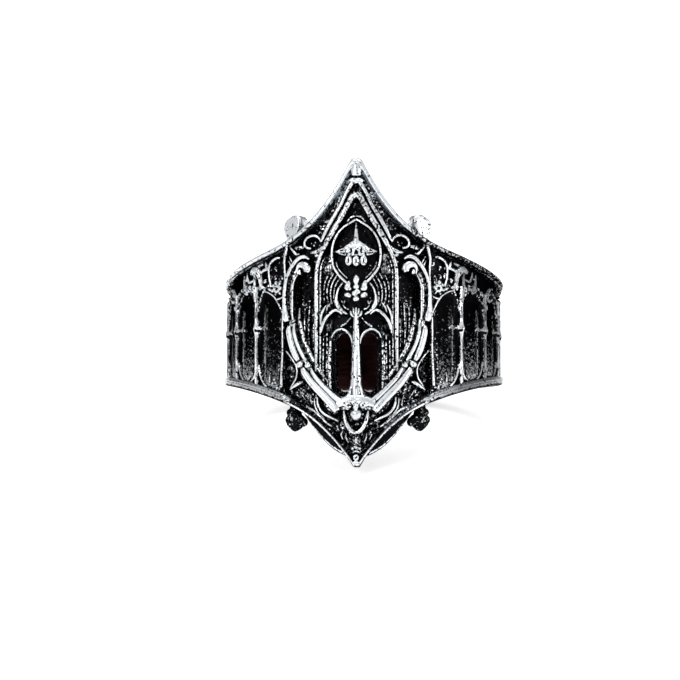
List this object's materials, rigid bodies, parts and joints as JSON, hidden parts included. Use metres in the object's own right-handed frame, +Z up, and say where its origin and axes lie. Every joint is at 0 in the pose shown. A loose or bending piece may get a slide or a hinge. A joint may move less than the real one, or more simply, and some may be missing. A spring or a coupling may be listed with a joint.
{
  "type": "gothic ring",
  "caption": "Gothic cathedral finger ring: arcaded band with a tall pointed panel of nested arches, roundel and pierced lancets, cast in blackened silver.",
  "frame": {"origin": "centre of the finger hole, level with the collars of the arcade", "axes": "+Z up as the ring rests, -Y towards the pointed panel at the front, +X to the right seen from the front; the finger hole leans back from +Z towards +Y"},
  "size_m": [0.023, 0.0265, 0.0242],
  "materials": {
    "oxidised_silver": "cast sterling silver, blackened in the recesses and polished on the raised edges"
  },
  "bodies": {
    "root": {"ring": "oxidised_silver"}
  },
  "joints": []
}
